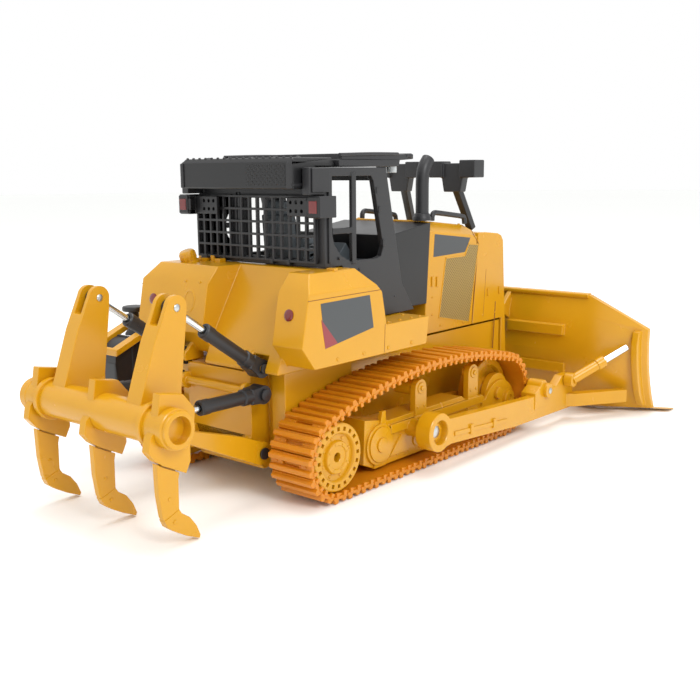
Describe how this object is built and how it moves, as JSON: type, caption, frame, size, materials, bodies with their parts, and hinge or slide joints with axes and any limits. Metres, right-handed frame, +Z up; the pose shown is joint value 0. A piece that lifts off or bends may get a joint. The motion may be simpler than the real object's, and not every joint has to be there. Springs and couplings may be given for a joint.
{
  "type": "toy bulldozer",
  "caption": "Toy crawler bulldozer with rubber tracks, lifting semi-U blade, caged cab, roof box and rear ripper on cylinders.",
  "frame": {"origin": "on the ground, under the middle of the whole toy's box", "axes": "+X forward to the blade, +Y to the toy's left, +Z up"},
  "size_m": [0.3084, 0.194, 0.1359],
  "materials": {
    "yellow_abs": "moulded, satin gloss",
    "track_rubber": "moulded soft plastic",
    "black_abs": "moulded satin",
    "grey_abs": "moulded matt",
    "chrome_rod": "polished plating",
    "board": "solder mask",
    "battery_wrap": "shrink wrap"
  },
  "bodies": {
    "chassis": {"chassis_hull": "yellow_abs", "belly_cover": "yellow_abs", "battery_pack": "battery_wrap", "circuit_board": "board", "drive_gearbox": "grey_abs", "rear_body": "yellow_abs", "hood": "yellow_abs", "radiator_guard": "yellow_abs", "radiator_grille": "black_abs", "engine_bay_panel": "black_abs", "cab_frame": "black_abs", "rear_window_guard": "black_abs", "roof_panel": "black_abs", "roof_aircon_box": "black_abs", "operator_seat": "grey_abs", "control_console": "grey_abs", "exhaust_stack": "black_abs", "lamp_mast_right": "black_abs", "lamp_mast_left": "black_abs", "rear_lamp_right": "black_abs", "rear_lamp_left": "black_abs", "hood_rail_right": "black_abs", "hood_rail_left": "black_abs", "fuel_cap": "yellow_abs", "side_tank": "black_abs", "tank_guard": "yellow_abs", "tank_breather": "black_abs", "track_frame_right": "yellow_abs", "track_frame_left": "yellow_abs", "track_belt_right": "track_rubber", "track_belt_left": "track_rubber"},
    "blade": {"blade_moldboard": "yellow_abs", "cutting_edge": "yellow_abs", "push_arm_right": "yellow_abs", "push_arm_left": "yellow_abs", "blade_brace_right": "yellow_abs", "blade_brace_left": "yellow_abs", "brace_rod_right": "chrome_rod", "brace_rod_left": "chrome_rod"},
    "ripper": {"ripper_beam": "yellow_abs", "ripper_shank_right": "yellow_abs", "ripper_shank_middle": "yellow_abs", "ripper_shank_left": "yellow_abs"},
    "switch": {"power_switch": "black_abs"},
    "sprocket_right": {"drive_sprocket_right": "yellow_abs"},
    "idler_right": {"front_idler_right": "yellow_abs"},
    "ripper_tilt_barrel_right": {"ripper_tilt_barrel_right": "black_abs"},
    "ripper_tilt_rod_right": {"ripper_tilt_rod_right": "chrome_rod"},
    "ripper_lift_barrel_right": {"ripper_lift_barrel_right": "black_abs"},
    "ripper_lift_rod_right": {"ripper_lift_rod_right": "chrome_rod"},
    "lift_barrel_right": {"lift_barrel_right": "black_abs"},
    "lift_rod_right": {"lift_rod_right": "chrome_rod"},
    "sprocket_left": {"drive_sprocket_left": "yellow_abs"},
    "idler_left": {"front_idler_left": "yellow_abs"},
    "ripper_tilt_barrel_left": {"ripper_tilt_barrel_left": "black_abs"},
    "ripper_tilt_rod_left": {"ripper_tilt_rod_left": "chrome_rod"},
    "ripper_lift_barrel_left": {"ripper_lift_barrel_left": "black_abs"},
    "ripper_lift_rod_left": {"ripper_lift_rod_left": "chrome_rod"},
    "lift_barrel_left": {"lift_barrel_left": "black_abs"},
    "lift_rod_left": {"lift_rod_left": "chrome_rod"}
  },
  "joints": [
    {"name": "blade_lift", "type": "hinge", "parent": "chassis", "child": "blade", "pos_m": [-0.0188, 0, 0.018], "axis": [0, -1, 0], "range_deg": [-2, 10]},
    {"name": "ripper_lift", "type": "hinge", "parent": "chassis", "child": "ripper", "pos_m": [-0.0883, 0, 0.0184], "axis": [0, 1, 0], "range_deg": [0, 15]},
    {"name": "switch_slide", "type": "slide", "parent": "chassis", "child": "switch", "axis": [1, 0, 0], "range_m": [0, 0.005]},
    {"name": "sprocket_spin_right", "type": "hinge", "parent": "chassis", "child": "sprocket_right", "pos_m": [-0.0738, 0, 0.0182], "axis": [0, 1, 0], "continuous": true},
    {"name": "idler_spin_right", "type": "hinge", "parent": "chassis", "child": "idler_right", "pos_m": [0.0512, 0, 0.0206], "axis": [0, 1, 0], "continuous": true},
    {"name": "ripper_tilt_barrel_swing_right", "type": "hinge", "parent": "chassis", "child": "ripper_tilt_barrel_right", "pos_m": [-0.0874, 0, 0.0524], "axis": [0, 1, 0], "range_deg": [-0.5, 22.5]},
    {"name": "ripper_tilt_rod_slide_right", "type": "slide", "parent": "ripper_tilt_barrel_right", "child": "ripper_tilt_rod_right", "axis": [-0.8269, 0, 0.5623], "range_m": [-0.0071, 0.0003]},
    {"name": "ripper_lift_barrel_swing_right", "type": "hinge", "parent": "chassis", "child": "ripper_lift_barrel_right", "pos_m": [-0.0893, 0, 0.0426], "axis": [0, 1, 0], "range_deg": [-0.5, 17.2]},
    {"name": "ripper_lift_rod_slide_right", "type": "slide", "parent": "ripper_lift_barrel_right", "child": "ripper_lift_rod_right", "axis": [-1, 0, 0.0094], "range_m": [-0.0066, 0.0003]},
    {"name": "lift_barrel_swing_right", "type": "hinge", "parent": "chassis", "child": "lift_barrel_right", "pos_m": [0.1017, 0, 0.07], "axis": [0, 1, 0], "range_deg": [-3, 0.8]},
    {"name": "lift_rod_slide_right", "type": "slide", "parent": "lift_barrel_right", "child": "lift_rod_right", "axis": [0.1984, 0, -0.9801], "range_m": [-0.0228, 0.0048]},
    {"name": "sprocket_spin_left", "type": "hinge", "parent": "chassis", "child": "sprocket_left", "pos_m": [-0.0738, 0, 0.0182], "axis": [0, 1, 0], "continuous": true},
    {"name": "idler_spin_left", "type": "hinge", "parent": "chassis", "child": "idler_left", "pos_m": [0.0512, 0, 0.0206], "axis": [0, 1, 0], "continuous": true},
    {"name": "ripper_tilt_barrel_swing_left", "type": "hinge", "parent": "chassis", "child": "ripper_tilt_barrel_left", "pos_m": [-0.0874, 0, 0.0524], "axis": [0, 1, 0], "range_deg": [-0.5, 22.5]},
    {"name": "ripper_tilt_rod_slide_left", "type": "slide", "parent": "ripper_tilt_barrel_left", "child": "ripper_tilt_rod_left", "axis": [-0.8269, 0, 0.5623], "range_m": [-0.0071, 0.0003]},
    {"name": "ripper_lift_barrel_swing_left", "type": "hinge", "parent": "chassis", "child": "ripper_lift_barrel_left", "pos_m": [-0.0893, 0, 0.0426], "axis": [0, 1, 0], "range_deg": [-0.5, 17.2]},
    {"name": "ripper_lift_rod_slide_left", "type": "slide", "parent": "ripper_lift_barrel_left", "child": "ripper_lift_rod_left", "axis": [-1, 0, 0.0094], "range_m": [-0.0066, 0.0003]},
    {"name": "lift_barrel_swing_left", "type": "hinge", "parent": "chassis", "child": "lift_barrel_left", "pos_m": [0.1017, 0, 0.07], "axis": [0, 1, 0], "range_deg": [-3, 0.8]},
    {"name": "lift_rod_slide_left", "type": "slide", "parent": "lift_barrel_left", "child": "lift_rod_left", "axis": [0.1984, 0, -0.9801], "range_m": [-0.0228, 0.0048]}
  ],
  "couplings": [
    {"joint": "idler_spin_right", "follows": "sprocket_spin_right", "ratio": 0.8717},
    {"joint": "ripper_tilt_barrel_swing_right", "follows": "ripper_lift", "ratio": 1.4562},
    {"joint": "ripper_tilt_rod_slide_right", "follows": "ripper_lift", "m_per_rad": -0.025622},
    {"joint": "ripper_lift_barrel_swing_right", "follows": "ripper_lift", "ratio": 1.0963},
    {"joint": "ripper_lift_rod_slide_right", "follows": "ripper_lift", "m_per_rad": -0.02386},
    {"joint": "lift_barrel_swing_right", "follows": "blade_lift", "ratio": -0.2759},
    {"joint": "lift_rod_slide_right", "follows": "blade_lift", "m_per_rad": -0.12894},
    {"joint": "idler_spin_left", "follows": "sprocket_spin_left", "ratio": 0.8717},
    {"joint": "ripper_tilt_barrel_swing_left", "follows": "ripper_lift", "ratio": 1.4562},
    {"joint": "ripper_tilt_rod_slide_left", "follows": "ripper_lift", "m_per_rad": -0.025622},
    {"joint": "ripper_lift_barrel_swing_left", "follows": "ripper_lift", "ratio": 1.0963},
    {"joint": "ripper_lift_rod_slide_left", "follows": "ripper_lift", "m_per_rad": -0.02386},
    {"joint": "lift_barrel_swing_left", "follows": "blade_lift", "ratio": -0.2759},
    {"joint": "lift_rod_slide_left", "follows": "blade_lift", "m_per_rad": -0.12894}
  ]
}
